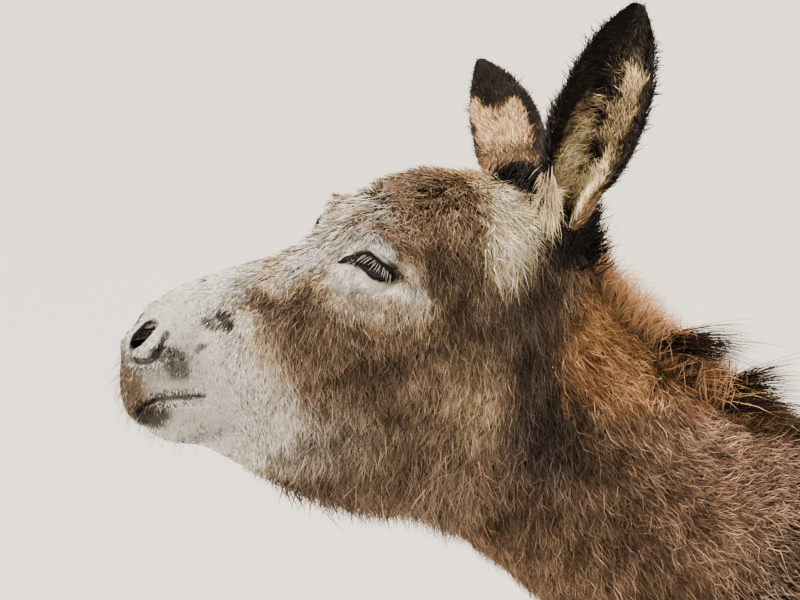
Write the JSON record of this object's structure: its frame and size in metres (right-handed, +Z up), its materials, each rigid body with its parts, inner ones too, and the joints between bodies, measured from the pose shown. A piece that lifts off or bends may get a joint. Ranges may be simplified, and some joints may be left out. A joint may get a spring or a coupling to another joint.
{
  "type": "donkey",
  "caption": "Standing donkey with a woolly winter coat, head stretched forward and turned a little to its left, long upright ears.",
  "frame": {"origin": "on the floor, under the middle of the animal's bounding box", "axes": "+Z up, -X the way the animal faces, -Y its left side"},
  "size_m": [1.6846, 0.4804, 1.5229],
  "materials": {
    "coat_brown": "long woolly winter hair, matte",
    "coat_dark": "long dark hair, matte",
    "hoof_horn": "dry dark horn, satin",
    "eye": "wet and glossy"
  },
  "bodies": {
    "root": {"head": "coat_brown", "neck": "coat_brown", "trunk": "coat_brown", "leg_front_left_upper": "coat_brown", "leg_front_left_lower": "coat_brown", "leg_front_right_upper": "coat_brown", "leg_front_right_lower": "coat_brown", "leg_hind_left_upper": "coat_brown", "leg_hind_left_lower": "coat_brown", "leg_hind_right_upper": "coat_brown", "leg_hind_right_lower": "coat_brown", "tail": "coat_brown", "mane": "coat_dark", "tail_switch": "coat_dark", "ear_left": "coat_dark", "ear_right": "coat_dark", "hoof_front_left": "hoof_horn", "hoof_front_right": "hoof_horn", "hoof_hind_left": "hoof_horn", "hoof_hind_right": "hoof_horn", "eye_left": "eye", "eye_right": "eye"}
  },
  "joints": []
}
